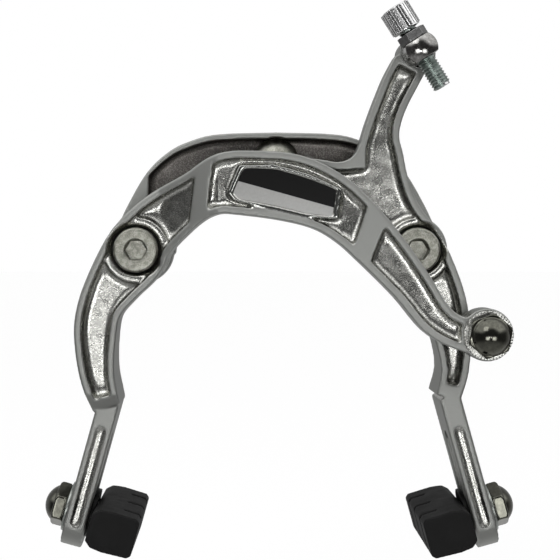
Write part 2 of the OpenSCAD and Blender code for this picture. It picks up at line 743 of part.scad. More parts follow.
module barrel_adjuster() {
    knob_z = stop_flats / 2 + locknut_h + neck_h;
    ribs = 32;
    notch = 0.36;
    color("gray") on_adjuster() difference() {
        union() {
            translate([0, 0, -stop_flats / 2 - thread_out + 0.6])
                cylinder(d = thread_d, h = knob_z + stop_flats / 2 + thread_out);
            translate([0, 0, -stop_flats / 2 - thread_out])
                cylinder(d1 = thread_d - 1.2, d2 = thread_d, h = 0.6);
            translate([0, 0, knob_z]) cylinder(d = knob_d, h = knob_h - 0.5);
            translate([0, 0, knob_z + knob_h - 0.5]) cylinder(d1 = knob_d, d2 = knob_d - 1, h = 0.5);
        }
        for (i = [1:ribs]) rotate([0, 0, i * 360 / ribs])
            translate([knob_d / 2 - 0.3, -notch / 2, knob_z - 1]) cube([1, notch, knob_h + 2]);
        translate([0, 0, -20]) cylinder(d = cable_bore, h = 40);
        translate([0, 0, knob_z + knob_h - 4.5]) cylinder(d = thread_d, h = 10);
    }
}

// Brake shoes, from the middle of the leg towards the rim
washer_r = 6.4;
nut_face = -leg_t / 2 - outer_washer_t;
module outer_washer(side) {
    color("silver") on_stud(side) translate([0, 0, nut_face]) washer_ring(outer_washer_t);
}
module inner_washer(side) {
    color("silver") on_stud(side) translate([0, 0, leg_t / 2]) washer_ring(washer_t);
}
module washer_ring(thickness) {
    difference() {
        cylinder(r = washer_r, h = thickness);
        translate([0, 0, -1]) cylinder(d = stud_d + 2 * run_play, h = thickness + 2);
    }
}
module shoe_dome_nut(side) {
    color("silver") on_stud(side) translate([0, 0, nut_face]) rotate([180, 0, 0]) dome_nut(stud_d);
}
pad_back = leg_t / 2 + washer_t + 0.1;
plate_r = 4.4;
plate_h = 1.4;
plate_depth = 3;
module shoe_stud(side) {
    color("gray") on_stud(side) {
        translate([0, 0, nut_face - nut_hex_h])
            cylinder(d = stud_d, h = nut_hex_h - nut_face + pad_back + plate_depth);
        translate([0, 0, pad_back + plate_depth]) cylinder(r = plate_r, h = plate_h);
    }
}
module pad(side) {
    face = pad_back + pad_t;
    half = pad_h / 2;
    color("#1c1c1c") on_stud(side) difference() {
        rotate([90, 0, 0]) translate([0, 0, -pad_len / 2]) linear_extrude(pad_len)
            polygon([[-half + 1.8, pad_back], [half - 1.8, pad_back], [half - 0.4, pad_back + 1.6],
                     [half, pad_back + 4.6], [half - 0.2, face - 0.9], [half - 1, face],
                     [-half + 1, face], [-half + 0.2, face - 0.9], [-half, pad_back + 4.6],
                     [-half + 0.4, pad_back + 1.6]]);
        for (i = [-1:1]) translate([-pad_h, i * pad_groove_pitch - pad_groove_w / 2, face - pad_groove_depth])
            cube([2 * pad_h, pad_groove_w, pad_groove_depth + 1]);
        translate([0, 0, pad_back - 1]) cylinder(d = stud_d, h = plate_depth + 1);
        translate([0, 0, pad_back + plate_depth]) cylinder(r = plate_r, h = plate_h);
    }
}

back_plate();
centre_bolt();
crown_spacer();
toothed_washer();
pivot_bolt(-1, left_seat);  // left_pivot_bolt
pivot_bolt(1, right_seat);  // right_pivot_bolt
pivot_bush(-1, left_seat);  // left_pivot_bush
pivot_bush(1, right_seat);  // right_pivot_bush
thrust_washer(-1);  // left_thrust_washer
thrust_washer(1);  // right_thrust_washer
return_spring(-1);  // left_return_spring
return_spring(1);  // right_return_spring
left_arm();
badge_plate();
anchor_bolt();
clamp_washer();
anchor_dome_nut();
right_arm();
sync_pin();
sync_roller();
cable_stop();
stop_clip();
locknut();
barrel_adjuster();
outer_washer(-1);  // left_outer_washer
inner_washer(-1);  // left_inner_washer
shoe_dome_nut(-1);  // left_dome_nut
shoe_stud(-1);  // left_shoe_stud
pad(-1);  // left_pad
outer_washer(1);  // right_outer_washer
inner_washer(1);  // right_inner_washer
shoe_dome_nut(1);  // right_dome_nut
shoe_stud(1);  // right_shoe_stud
pad(1);  // right_pad
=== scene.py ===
"""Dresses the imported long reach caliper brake: cast edges, finishes, threads, knurls, studio and camera."""
import json
import math

import bmesh
import bpy
import numpy as np
from mathutils import Matrix, Vector, noise
from mathutils.bvhtree import BVHTree


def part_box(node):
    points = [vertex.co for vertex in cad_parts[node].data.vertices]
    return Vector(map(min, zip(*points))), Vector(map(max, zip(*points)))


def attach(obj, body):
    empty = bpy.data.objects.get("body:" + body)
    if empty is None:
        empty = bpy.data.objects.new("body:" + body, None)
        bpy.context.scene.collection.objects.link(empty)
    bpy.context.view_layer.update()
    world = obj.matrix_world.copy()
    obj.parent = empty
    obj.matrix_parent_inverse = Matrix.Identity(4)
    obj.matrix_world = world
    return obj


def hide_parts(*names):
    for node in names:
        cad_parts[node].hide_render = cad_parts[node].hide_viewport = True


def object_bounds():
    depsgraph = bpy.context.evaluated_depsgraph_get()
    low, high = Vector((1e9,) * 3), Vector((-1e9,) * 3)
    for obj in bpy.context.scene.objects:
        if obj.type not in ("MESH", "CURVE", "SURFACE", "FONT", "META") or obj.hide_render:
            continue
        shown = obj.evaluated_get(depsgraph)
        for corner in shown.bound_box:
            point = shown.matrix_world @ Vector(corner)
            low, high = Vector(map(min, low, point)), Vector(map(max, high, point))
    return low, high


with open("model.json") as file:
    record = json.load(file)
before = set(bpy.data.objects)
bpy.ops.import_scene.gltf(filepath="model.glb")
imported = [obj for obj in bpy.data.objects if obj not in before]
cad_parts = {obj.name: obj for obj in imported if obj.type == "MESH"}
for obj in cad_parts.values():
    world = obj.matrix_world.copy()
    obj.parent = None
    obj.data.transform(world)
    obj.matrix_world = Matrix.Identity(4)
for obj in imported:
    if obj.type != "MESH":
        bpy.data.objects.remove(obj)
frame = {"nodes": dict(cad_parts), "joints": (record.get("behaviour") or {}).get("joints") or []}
cad_box = [list(corner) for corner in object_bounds()]

bl_info = {
    "name": "Long Reach Caliper Brake",
    "version": (1, 0, 0),
    "blender": (4, 5, 0),
    "location": "View3D > Sidebar > Brake",
    "description": "Dresses the solids of a long reach caliper brake with their finishes and a studio",
    "category": "Object",
}

MM = 0.001
FRONT = Vector((0, -1, 0))


def middle(node):
    """The middle of a CAD node's box."""
    low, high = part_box(node)
    return (low + high) / 2


def joint(name):
    """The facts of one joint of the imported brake."""
    return next(j for j in frame["joints"] if j["name"] == name)


# Settings


class CastingSettings(bpy.types.PropertyGroup):
    """Sizes and colours of the three cast pieces."""

    voxel: bpy.props.FloatProperty(
        name="Voxel", description="Size of the cells from which the castings are made",
        default=0.37 * MM, unit="LENGTH", precision=5)
    fillet: bpy.props.FloatProperty(
        name="Fillet", description="Radius of the cast fillets in the pockets",
        default=2.2 * MM, unit="LENGTH", precision=5)
    grain: bpy.props.FloatProperty(
        name="Grain", description="Width of one grain of the cast skin",
        default=0.3 * MM, unit="LENGTH", precision=5)
    ripple: bpy.props.FloatProperty(
        name="Ripple", description="Height of the slow waves in the cast skin",
        default=0.05 * MM, unit="LENGTH", precision=5)
    lean: bpy.props.FloatProperty(
        name="Lean", description="Slope of the long pocket's floor in the left arm",
        default=math.radians(5.5), subtype="ANGLE")
    ground: bpy.props.StringProperty(
        name="Ground", description="Colour of the ground rims and sides", default="#929390")
    skin: bpy.props.StringProperty(
        name="Skin", description="Colour of the bright cast skin in the pockets", default="#9A9A96")
    # The back plate's pocket skin colour is darkened as painted shade, for the shade behind the arms in front
    # of the plate.
    painted_shade_skin: bpy.props.StringProperty(
        name="Painted shade skin", description="Colour of the back plate's cast skin", default="#625F5C")


class BoltSettings(bpy.types.PropertyGroup):
    """Sizes and colours of the bolts, nuts and washers."""

    voxel: bpy.props.FloatProperty(
        name="Voxel", description="Size of the cells from which turned pieces are made",
        default=0.21 * MM, unit="LENGTH", precision=5)
    pitch: bpy.props.FloatProperty(
        name="Pitch", description="Pitch of the mounting bolt's thread",
        default=1.0 * MM, unit="LENGTH", precision=5)
    thread_depth: bpy.props.FloatProperty(
        name="Thread depth", description="Depth of the mounting bolt's thread",
        default=0.55 * MM, unit="LENGTH", precision=5)
    serrations: bpy.props.IntProperty(
        name="Serrations", description="Number of serrations round the clamp washer",
        default=48, min=12, max=120)
    zinc: bpy.props.StringProperty(
        name="Zinc", description="Colour of zinc plated steel", default="#A3A6A2")
    bolt: bpy.props.StringProperty(
        name="Bolt", description="Colour of the pivot bolts", default="#A9A9A0")
    chrome: bpy.props.StringProperty(
        name="Chrome", description="Colour of the plated dome nuts", default="#5F5F57")
    black: bpy.props.StringProperty(
        name="Black", description="Colour of blackened steel", default="#1D1D1C")


class StopSettings(bpy.types.PropertyGroup):
    """Sizes of the cable stop and its barrel adjuster."""

    pitch: bpy.props.FloatProperty(
        name="Pitch", description="Pitch of the adjuster's thread",
        default=0.8 * MM, unit="LENGTH", precision=5)
    thread_depth: bpy.props.FloatProperty(
        name="Thread depth", description="Depth of the adjuster's thread",
        default=0.42 * MM, unit="LENGTH", precision=5)
    ribs: bpy.props.IntProperty(
        name="Ribs", description="Number of ribs round the knob", default=32, min=12, max=60)


class BlockSettings(bpy.types.PropertyGroup):
    """Sizes and colours of the rubber brake blocks."""

    rubber: bpy.props.StringProperty(
        name="Rubber", description="Colour of the moulded rubber", default="#070707")
    nib: bpy.props.FloatProperty(
        name="Nib", description="Height of the moulding nib under each block",
        default=0.9 * MM, unit="LENGTH", precision=5)


class BadgeSettings(bpy.types.PropertyGroup):
    """Colours of the bare two-tone badge."""

    upper: bpy.props.StringProperty(
        name="Upper", description="Colour of the badge's upper field", default="#050505")
    lower: bpy.props.StringProperty(
        name="Lower", description="Colour of the badge's lower field", default="#B4B4B2")
    slope: bpy.props.FloatProperty(
        name="Slope", description="Slope of the line between the two fields",
        default=-math.radians(15.5), subtype="ANGLE")


class StudioSettings(bpy.types.PropertyGroup):
    """Sizes and levels of the studio."""

    floor_drop: bpy.props.FloatProperty(
        name="Floor drop", description="Distance of the floor below the brake",
        default=45 * MM, unit="LENGTH")
    floor_colour: bpy.props.StringProperty(
        name="Floor colour", description="Colour of the floor", default="#F2F2F2")
    lamp_power: bpy.props.FloatProperty(
        name="Lamp power", description="Power of the key lamp in watts", default=0.8, min=0)


# Nodes and materials


def linear(colour):
    """An sRGB hex value as linear red, green, blue and alpha."""
    parts = [int(colour[i:i + 2], 16) / 255 for i in (1, 3, 5)]
    return [p / 12.92 if p <= 0.04045 else ((p + 0.055) / 1.055) ** 2.4 for p in parts] + [1.0]


def add(tree, kind, inputs=None, **settings):
    """Adds a node with its settings. An input is a plain value, or another node's output to link."""
    node = tree.nodes.new(kind)
    for name, value in settings.items():
        setattr(node, name, value)
    for name, value in (inputs or {}).items():
        if isinstance(value, bpy.types.NodeSocket):
            tree.links.new(value, node.inputs[name])
        else:
            node.inputs[name].default_value = value
    return node


def new_material(name):
    """An empty node material and its tree."""
    material = bpy.data.materials.new(name)
    material.use_nodes = True
    material.node_tree.nodes.clear()
    return material, material.node_tree


def close_material(tree, shader):
    """Leads a shader to the material's output."""
    add(tree, "ShaderNodeOutputMaterial", {"Surface": shader.outputs[0]})


def grain_noise(tree, size, detail=2.0, stretch=(1, 1, 1)):
    """Noise on object coordinates whose grains are about size wide, in metres."""
    coordinates = add(tree, "ShaderNodeTexCoord")
    mapping = add(tree, "ShaderNodeMapping", {"Vector": coordinates.outputs["Object"], "Scale": stretch})
    return add(tree, "ShaderNodeTexNoise", {
        "Vector": mapping.outputs[0], "Scale": 1 / size, "Detail": detail, "Roughness": 0.55})


def ramp(tree, factor, low, high, from_min=0.0, from_max=1.0):
    """A number that goes from low to high as the factor goes from from_min to from_max."""
    return add(tree, "ShaderNodeMapRange", {
        "Value": factor, "From Min": from_min, "From Max": from_max, "To Min": low, "To Max": high})


def mix_colour(tree, factor, first, second):
    """A colour between two, each a hex value or another node's output."""
    node = add(tree, "ShaderNodeMix", data_type="RGBA")
    tree.links.new(factor, node.inputs["Factor"])
    for number, value in ((6, first), (7, second)):
        if isinstance(value, str):
            node.inputs[number].default_value = linear(value)
        else:
            tree.links.new(value, node.inputs[number])
    return node.outputs[2]


def attribute(tree, name):
    """A number stored at the vertices."""
    return add(tree, "ShaderNodeAttribute", attribute_name=name).outputs["Fac"]


def mix_number(tree, factor, first, second):
    """A number between two."""
    return add(tree, "ShaderNodeMix", {"Factor": factor, "A": first, "B": second},
               data_type="FLOAT").outputs[0]


def step(tree, value, start, end):
    """Zero at start, one at end, and smooth between them."""
    return add(tree, "ShaderNodeMapRange", {"Value": value, "From Min": start, "From Max": end},
               interpolation_type="SMOOTHSTEP").outputs[0]


def joined(tree, operation, *values):
    """The sum or product of numbers."""
    total = values[0]
    for value in values[1:]:
        total = add(tree, "ShaderNodeMath", {0: total, 1: value}, operation=operation).outputs[0]
    return total


def bump(tree, height, distance, strength=1.0, base=None):
    """Relief of a real height in metres, over another relief if one is given."""
    inputs = {"Height": height, "Distance": distance, "Strength": strength}
    if base is not None:
        inputs["Normal"] = base
    return add(tree, "ShaderNodeBump", inputs).outputs[0]


def cast_aluminium(name, skin, glint, rough_skin, settings):
    """Die cast aluminium, ground flat on its rims and bright tumbled in its pockets. Given a dark skin
    colour, as for the back plate, the pockets carry painted shade.

    The rims are even satin with fine grinding marks. The pockets keep the cast skin, whose grains glint.
    The raised frame round the badge is polished and throws clear white and dark lines.
    """
    material, tree = new_material(name)
    pocket = attribute(tree, "pocket")
    polish = attribute(tree, "polish")
    grains = grain_noise(tree, settings.grain, detail=3).outputs["Fac"]
    clouds = grain_noise(tree, 5 * MM, detail=3).outputs["Fac"]
    marks = grain_noise(tree, 0.3 * MM, stretch=(0.25, 1, 1.6)).outputs["Fac"]
    speck = ramp(tree, grains, 0, 1, 0.47, 0.66).outputs[0]
    colour = mix_colour(tree, pocket, settings.ground, mix_colour(tree, speck, skin, glint))
    rough_ground = ramp(tree, marks, 0.46, 0.56).outputs[0]
    rough_skin = ramp(tree, clouds, rough_skin, rough_skin + 0.1, 0.35, 0.65).outputs[0]
    rough = mix_number(tree, polish, mix_number(tree, pocket, rough_ground, rough_skin), 0.14)
    relief = bump(tree, joined(tree, "MULTIPLY", grains, pocket), 0.045 * MM, 0.7)
    relief = bump(tree, marks, 0.005 * MM, 0.6, relief)
    close_material(tree, add(tree, "ShaderNodeBsdfPrincipled", {
        "Base Color": colour, "Metallic": 1.0, "Roughness": rough, "Normal": relief}))
    return material


def plated_steel(name, colour, dark, grain, rough, relief_height):
    """Steel with a thin plated skin: fine grain, with small differences of tone and gloss."""
    material, tree = new_material(name)
    grains = grain_noise(tree, grain, detail=3)
    clouds = grain_noise(tree, 1.6 * MM, detail=2)
    mixed = joined(tree, "MULTIPLY", grains.outputs["Fac"], clouds.outputs["Fac"])
    tone = mix_colour(tree, ramp(tree, mixed, 0, 1, 0.15, 0.38).outputs[0], dark, colour)
    roughness = ramp(tree, clouds.outputs["Fac"], rough * 0.85, rough * 1.2).outputs[0]
    close_material(tree, add(tree, "ShaderNodeBsdfPrincipled", {
        "Base Color": tone, "Metallic": 1.0, "Roughness": roughness,
        "Normal": bump(tree, grains.outputs["Fac"], relief_height, 0.7)}))
    return material


def moulded_rubber(settings):
    """Moulded brake rubber: matt black, with a fine bloom and the mould's slight unevenness."""
    material, tree = new_material("moulded_brake_rubber")
    grains = grain_noise(tree, 0.25 * MM, detail=2)
    clouds = grain_noise(tree, 4 * MM, detail=3)
    tone = mix_colour(tree, ramp(tree, clouds.outputs["Fac"], 0, 1, 0.35, 0.7).outputs[0],
                      settings.rubber, "#0D0D0D")
    relief = bump(tree, clouds.outputs["Fac"], 0.12 * MM, 0.5)
    relief = bump(tree, grains.outputs["Fac"], 0.02 * MM, 0.5, relief)
    roughness = ramp(tree, clouds.outputs["Fac"], 0.6, 0.74, 0.3, 0.7).outputs[0]
    close_material(tree, add(tree, "ShaderNodeBsdfPrincipled", {
        "Base Color": tone, "Roughness": roughness, "IOR": 1.52, "Specular IOR Level": 0.2,
        "Normal": relief}))
    return material


def two_tone_foil(settings):
    """Printed foil under clear lacquer: a black field over a silver one, with nothing written on it."""
    edge_low, edge_high = -0.44 * MM, -0.38 * MM
    material, tree = new_material("lacquered_foil")
    centre = middle("badge_plate")
    coordinates = add(tree, "ShaderNodeTexCoord")
    moved = add(tree, "ShaderNodeVectorMath", {0: coordinates.outputs["Object"], 1: -centre},
                operation="ADD")
    turned = add(tree, "ShaderNodeVectorRotate", {
        "Vector": moved.outputs[0], "Axis": (0, 1, 0), "Angle": settings.slope}, rotation_type="AXIS_ANGLE")
    height = add(tree, "ShaderNodeSeparateXYZ", {0: turned.outputs[0]}).outputs["Z"]
    upper = ramp(tree, height, 0, 1, edge_low, edge_high).outputs[0]
    clouds = grain_noise(tree, 0.5 * MM)
    silver = mix_colour(tree, clouds.outputs["Fac"], settings.lower, "#A2A2A0")
    colour = mix_colour(tree, upper, silver, settings.upper)
    metallic = ramp(tree, upper, 0.8, 0.0).outputs[0]
    close_material(tree, add(tree, "ShaderNodeBsdfPrincipled", {
        "Base Color": colour, "Metallic": metallic, "Roughness": 0.3, "Specular IOR Level": 0.2,
        "Normal": bump(tree, clouds.outputs["Fac"], 0.004 * MM)}))
    return material


def plain_polymer(name, colour, shade, rough):
    """Moulded nylon: a milky plastic with a faint mottling."""
    material, tree = new_material(name)
    clouds = grain_noise(tree, 1.2 * MM, detail=2)
    close_material(tree, add(tree, "ShaderNodeBsdfPrincipled", {
        "Base Color": mix_colour(tree, clouds.outputs["Fac"], colour, shade),
        "Roughness": rough, "IOR": 1.53, "Normal": bump(tree, clouds.outputs["Fac"], 0.02 * MM)}))
    return material


# Meshes


def paint(mesh, material):
    """Gives a mesh its one material."""
    mesh.materials.clear()
    mesh.materials.append(material)


def dress(thing, material, body, slot, *nodes):
    """Gives a finished piece its material and its body, and hides the nodes it stands for. The slot is not
    used.
    """
    if material is not None:
        paint(thing.data, material)
    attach(thing, body)
    if nodes:
        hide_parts(*nodes)


def link(name, mesh):
    """A new object at the origin that shows a mesh."""
    thing = bpy.data.objects.new(name, mesh)
    bpy.context.scene.collection.objects.link(thing)
    return thing


def joined_copy(node):
    """A copy of a CAD node's mesh with its loose triangles joined."""
    work = bmesh.new()
    work.from_mesh(frame["nodes"][node].data)
    bmesh.ops.remove_doubles(work, verts=work.verts, dist=1e-6)
    mesh = bpy.data.meshes.new(node + "_form")
    work.to_mesh(mesh)
    work.free()
    return mesh


def plain_mesh(thing):
    """The mesh of an object with its modifiers applied. The object and its own mesh are removed."""
    graph = bpy.context.evaluated_depsgraph_get()
    mesh = bpy.data.meshes.new_from_object(thing.evaluated_get(graph))
    spent = thing.data
    bpy.data.objects.remove(thing)
    bpy.data.meshes.remove(spent)
    return mesh


def voxel_mesh(mesh, voxel):
    """The mesh rebuilt from even cells."""
    thing = link("cells", mesh)
    remesh = thing.modifiers.new("Cells", "REMESH")
    remesh.mode = "VOXEL"
    remesh.voxel_size = voxel
    return plain_mesh(thing)


def read(mesh, what):
    """Positions or normals of a mesh's vertices as an array."""
    values = np.empty(len(mesh.vertices) * 3, np.float32)
    mesh.vertices.foreach_get(what, values)
    return values.reshape(-1, 3).astype(float)


def write(mesh, points):
    """Puts new positions into a mesh."""
    mesh.vertices.foreach_set("co", points.astype(np.float32).ravel())
    mesh.update()


def averager(mesh):
    """A function that gives, for values at the vertices, the mean over each vertex's neighbours."""
    ends = np.empty(len(mesh.edges) * 2, np.int32)
    mesh.edges.foreach_get("vertices", ends)
    first, second = ends.reshape(-1, 2).T
    count = len(mesh.vertices)
    share = 1 / np.maximum(np.bincount(ends, minlength=count), 1)

    def mean(values):
        columns = [np.bincount(first, column[second], count) + np.bincount(second, column[first], count)
                   for column in values.T]
        return np.stack(columns, 1) * share[:, None]

    return mean


def soften(mesh, voxel, edge_rounds, fillet_rounds=0, fillet=0.0, open_places=None):
    """Rounds sharp outer edges a little, and fills the inner corners at the open places up to a radius."""
    mean = averager(mesh)
    points = read(mesh, "co")
    for _ in range(edge_rounds):
        points += 0.5 * (mean(points) - points)
    write(mesh, points)
    least = voxel * voxel / (4 * fillet) if fillet else 0
    for _ in range(fillet_rounds):
        normals = read(mesh, "normal")
        pull = mean(points) - points
        out = (pull * normals).sum(1)
        fill = open_places & (out > least)
        points[fill] += 0.6 * pull[fill]
        write(mesh, points)


def snap(mesh, surface):
    """Moves every vertex to the nearest point of a surface, so that flat faces stay flat."""
    points = read(mesh, "co")
    for i, point in enumerate(points):
        points[i] = surface.find_nearest(Vector(point))[0]
    write(mesh, points)


def in_pocket(mesh, surface, keep_clear, reach=18 * MM, lift=0.12 * MM):
    """For each vertex, whether it lies in a pocket that is open to the front, and not in a pivot's dish."""
    points = read(mesh, "co")
    normals = read(mesh, "normal")
    most_backward = 0.35
    ways, walls_needed = 8, 6
    angles = np.linspace(0, 2 * math.pi, ways, endpoint=False)
    around = [Vector((math.cos(a), 0, math.sin(a))) for a in angles]
    inside = np.zeros(len(points), bool)
    for i, (point, normal) in enumerate(zip(points, normals)):
        if normal[1] > most_backward:
            continue
        if any(math.hypot(point[0] - x, point[2] - z) < r for x, z, r in keep_clear):
            continue
        start = Vector(point + normal * lift)
        if surface.ray_cast(start, FRONT)[0] is not None:
            continue
        walls = sum(surface.ray_cast(start, way, reach)[0] is not None for way in around)
        inside[i] = walls >= walls_needed
    return inside


def mark(mesh, name, values):
    """Stores a number for each vertex, for the material to read."""
    layer = mesh.attributes.new(name, "FLOAT", "POINT")
    layer.data.foreach_set("value", values.astype(np.float32))


def ripple(mesh, values, height):
    """Slow waves of the cast skin, where the values are one."""
    points = read(mesh, "co")
    normals = read(mesh, "normal")
    waves = np.array([noise.noise(Vector(p) / (2.6 * MM)) for p in points])
    write(mesh, points + normals * (waves * values * height)[:, None])


def near(mesh, node, reach):
    """For each vertex, one where it lies within reach of a CAD node's surface, and zero past that."""
    solid = joined_copy(node)
    surface = BVHTree.FromPolygons([v.co for v in solid.vertices], [p.vertices for p in solid.polygons])
    return np.array([surface.find_nearest(Vector(p))[3] < reach for p in read(mesh, "co")], float)


def cut_back(mesh, start, along, zones):
    """Limits a turned piece's radius over stretches of its length: (first, last, largest radius)."""
    points = read(mesh, "co")
    along = np.array(along)
    reach = points - np.array(start)
    height = reach @ along
    spread = reach - height[:, None] * along
    radius = np.linalg.norm(spread, axis=1)
    for first, last, most in zones:
        inside = (height > first) & (height < last) & (radius > most)
        points[inside] += spread[inside] * (most / radius[inside] - 1)[:, None]
    write(mesh, points)


def lean_floor(mesh, values, slope):
    """Slopes the floor of the long pocket between the badge and the cable anchor."""
    pivot = middle("right_pivot_bolt")
    left, drop = 2 * MM, 10 * MM
    slant_x, slant_z = 0.68, 0.73
    reach_left, half_width = 20 * MM, 6 * MM
    points = read(mesh, "co")
    across = (points[:, 0] - pivot.x + left) * slant_x + (points[:, 2] - pivot.z + drop) * slant_z
    place = (points[:, 0] > pivot.x - reach_left) & (np.abs(across) < half_width)
    points[:, 1] += place * values * across * math.tan(slope)
    write(mesh, points)


def make_casting(node, settings, keep_clear, polished=None):
    """One cast piece, with soft edges, filled corners and its pockets and polished places marked."""
    solid = joined_copy(node)
    surface = BVHTree.FromPolygons([v.co for v in solid.vertices], [p.vertices for p in solid.polygons])
    mesh = voxel_mesh(solid, settings.voxel)
    snap(mesh, surface)
    pocket = in_pocket(mesh, surface, keep_clear)
    soften(mesh, settings.voxel, edge_rounds=3, fillet_rounds=45, fillet=settings.fillet,
           open_places=pocket)
    mean = averager(mesh)
    values = pocket.astype(float)[:, None]
    for _ in range(2):
        values = mean(values)
    values = np.clip((values[:, 0] - 0.25) * 2, 0, 1)
    ripple(mesh, values, settings.ripple)
    if node == "left_arm":
        lean_floor(mesh, values, settings.lean)
    mark(mesh, "pocket", values)
    if polished:
        polish_reach = 1.3 * MM
        mark(mesh, "polish", mean(mean(near(mesh, polished, polish_reach)[:, None]))[:, 0])
    mesh.shade_smooth()
    return link(node + "_casting", mesh)


def turned_copy(node, voxel, rounds=2):
    """A copy of a small node with softly broken edges."""
    solid = joined_copy(node)
    surface = BVHTree.FromPolygons([v.co for v in solid.vertices], [p.vertices for p in solid.polygons])
    mesh = voxel_mesh(solid, voxel)
    snap(mesh, surface)
    soften(mesh, voxel, rounds)
    mesh.shade_smooth()
    return link(node + "_turned", mesh)


# Geometry nodes


def new_tree(name, inputs):
    """A geometry tree with named inputs, and its group input node."""
    tree = bpy.data.node_groups.new(name, "GeometryNodeTree")
    tree.interface.new_socket("Geometry", in_out="INPUT", socket_type="NodeSocketGeometry")
    tree.interface.new_socket("Geometry", in_out="OUTPUT", socket_type="NodeSocketGeometry")
    for label, kind in inputs.items():
        tree.interface.new_socket(label, in_out="INPUT", socket_type="NodeSocket" + kind)
    return tree, add(tree, "NodeGroupInput").outputs


def close_tree(tree, geometry, material):
    """Realizes a tree's geometry, sets its material and leads it out."""
    real = add(tree, "GeometryNodeRealizeInstances", {0: geometry})
    painted = add(tree, "GeometryNodeSetMaterial", {"Geometry": real.outputs[0], "Material": material})
    add(tree, "NodeGroupOutput", {0: painted.outputs[0]})


def thread_tree():
    """A helical ridge: the screw thread's crest, swept along its turns."""
    tree, given = new_tree("screw_thread", {
        "Pitch": "Float", "Length": "Float", "Root radius": "Float", "Depth": "Float",
        "Material": "Material"})
    turns = add(tree, "ShaderNodeMath", {0: given["Length"], 1: given["Pitch"]}, operation="DIVIDE")
    helix = add(tree, "GeometryNodeCurveSpiral", {
        "Resolution": 40, "Rotations": turns.outputs[0], "Start Radius": given["Root radius"],
        "End Radius": given["Root radius"], "Height": given["Length"]})
    upright = add(tree, "GeometryNodeSetCurveNormal", {"Curve": helix.outputs[0]})
    upright.mode = "Z_UP"
    ridge = add(tree, "GeometryNodeCurvePrimitiveCircle", {"Resolution": 4, "Radius": given["Depth"]})
    swept = add(tree, "GeometryNodeCurveToMesh", {
        "Curve": upright.outputs[0], "Profile Curve": ridge.outputs[0], "Fill Caps": True})
    flat = add(tree, "GeometryNodeSetShadeSmooth", {"Geometry": swept.outputs[0], "Shade Smooth": False})
    close_tree(tree, flat.outputs[0], given["Material"])
    return tree


def knurl_tree():
    """Flat-topped ribs side by side round a rim, each turned to face away from the middle."""
    tree, given = new_tree("straight_knurl", {
        "Ribs": "Int", "Radius": "Float", "Rib size": "Vector", "Material": "Material"})
    ring = add(tree, "GeometryNodeMeshCircle", {"Vertices": given["Ribs"], "Radius": given["Radius"]})
    rib = add(tree, "GeometryNodeMeshCube", {"Size": given["Rib size"]})
    place = add(tree, "GeometryNodeInputPosition").outputs[0]
    turn = add(tree, "FunctionNodeAlignRotationToVector", {"Vector": place}, axis="X")
    ribs = add(tree, "GeometryNodeInstanceOnPoints", {
        "Points": ring.outputs[0], "Instance": rib.outputs[0], "Rotation": turn.outputs[0]})
    close_tree(tree, ribs.outputs[0], given["Material"])
    return tree


def standing(start, along):
    """The place whose Z runs along a direction from a start."""
    return Matrix.Translation(start) @ Vector(along).to_track_quat("Z", "Y").to_matrix().to_4x4()


def grown(name, tree, place, values):
    """A plain object made by a geometry tree, with its place put into its mesh."""
    thing = link(name + "_tree", bpy.data.meshes.new(name + "_tree"))
    modifier = thing.modifiers.new("Build", "NODES")
    modifier.node_group = tree
    for item in tree.interface.items_tree:
        if item.item_type == "SOCKET" and item.in_out == "INPUT" and item.name in values:
            modifier[item.identifier] = values[item.name]
    mesh = plain_mesh(thing)
    mesh.transform(place)
    return link(name, mesh)


# Operators


def looks():
    """The settings kept with the scene."""
    return bpy.context.scene.brake_looks


class BRAKE_OT_castings(bpy.types.Operator):
    """Makes the two arms and the back plate from their solids"""

    bl_idname = "brake.castings"
    bl_label = "Make castings"

    def execute(self, context):
        settings = looks().castings
        bright = cast_aluminium("die_cast_aluminium", settings.skin, "#D0D0CB", 0.2, settings)
        # The back plate's material: a rougher pocket skin whose colour is darkened as painted shade from the
        # arms in front of it.
        painted_shade_skin = cast_aluminium("matt_aluminium_painted_shade", settings.painted_shade_skin, "#8C8884", 0.4, settings)
        for node, body, material, sides, polished in (
                ("left_arm", "left_arm", bright, ["left"], "badge_plate"),
                ("right_arm", "right_arm", bright, ["right"], None),
                ("back_plate", "frame", painted_shade_skin, [], None)):
            clear = []
            for side in sides:
                centre = middle(side + "_pivot_bolt")
                low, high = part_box(side + "_pivot_bolt")
                clear.append((centre.x, centre.z, (high.x - low.x) / 2 + 0.5 * MM))
            dress(make_casting(node, settings, clear, polished), material, body, "cast_alloy", node)
        return {"FINISHED"}


class BRAKE_OT_badge(bpy.types.Operator):
    """Lays the bare two-tone foil in its raised frame"""

    bl_idname = "brake.badge"
    bl_label = "Make badge"

    def execute(self, context):
        thing = link("badge_foil", joined_copy("badge_plate"))
        soft = thing.modifiers.new("Edge", "BEVEL")
        soft.width = 0.15 * MM
        soft.segments = 3
        mesh = plain_mesh(thing)
        dress(link("badge_foil", mesh), two_tone_foil(looks().badge), "left_arm", "badge_foil",
              "badge_plate")
        return {"FINISHED"}


